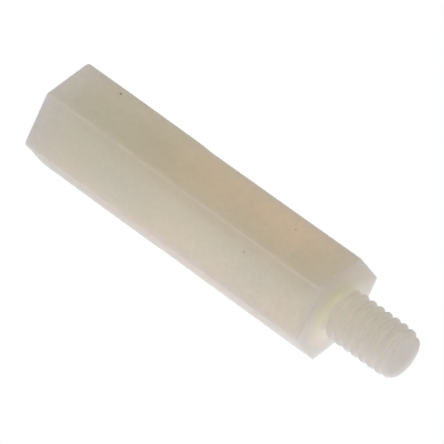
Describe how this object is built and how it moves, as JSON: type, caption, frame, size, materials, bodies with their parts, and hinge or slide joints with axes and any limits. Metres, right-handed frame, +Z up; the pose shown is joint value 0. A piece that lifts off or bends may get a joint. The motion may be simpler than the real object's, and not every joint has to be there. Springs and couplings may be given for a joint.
{
  "type": "hex standoff",
  "caption": "Male-female hex standoff in natural nylon: a short threaded stud on one end and a blind threaded hole in the other hold two panels apart.",
  "frame": {"origin": "middle of the shoulder face, on the common axis of the stud, the hexagon and the threaded hole", "axes": "+X along the axis, out of the stud's tip; +Z up through a flat of the hexagon, as the part lies on the opposite flat; +Y through a corner of the hexagon"},
  "size_m": [0.031, 0.008, 0.007],
  "materials": {
    "natural_nylon": "satin as moulded, undyed and milky translucent"
  },
  "bodies": {
    "root": {"hex_standoff": "natural_nylon"}
  },
  "joints": []
}
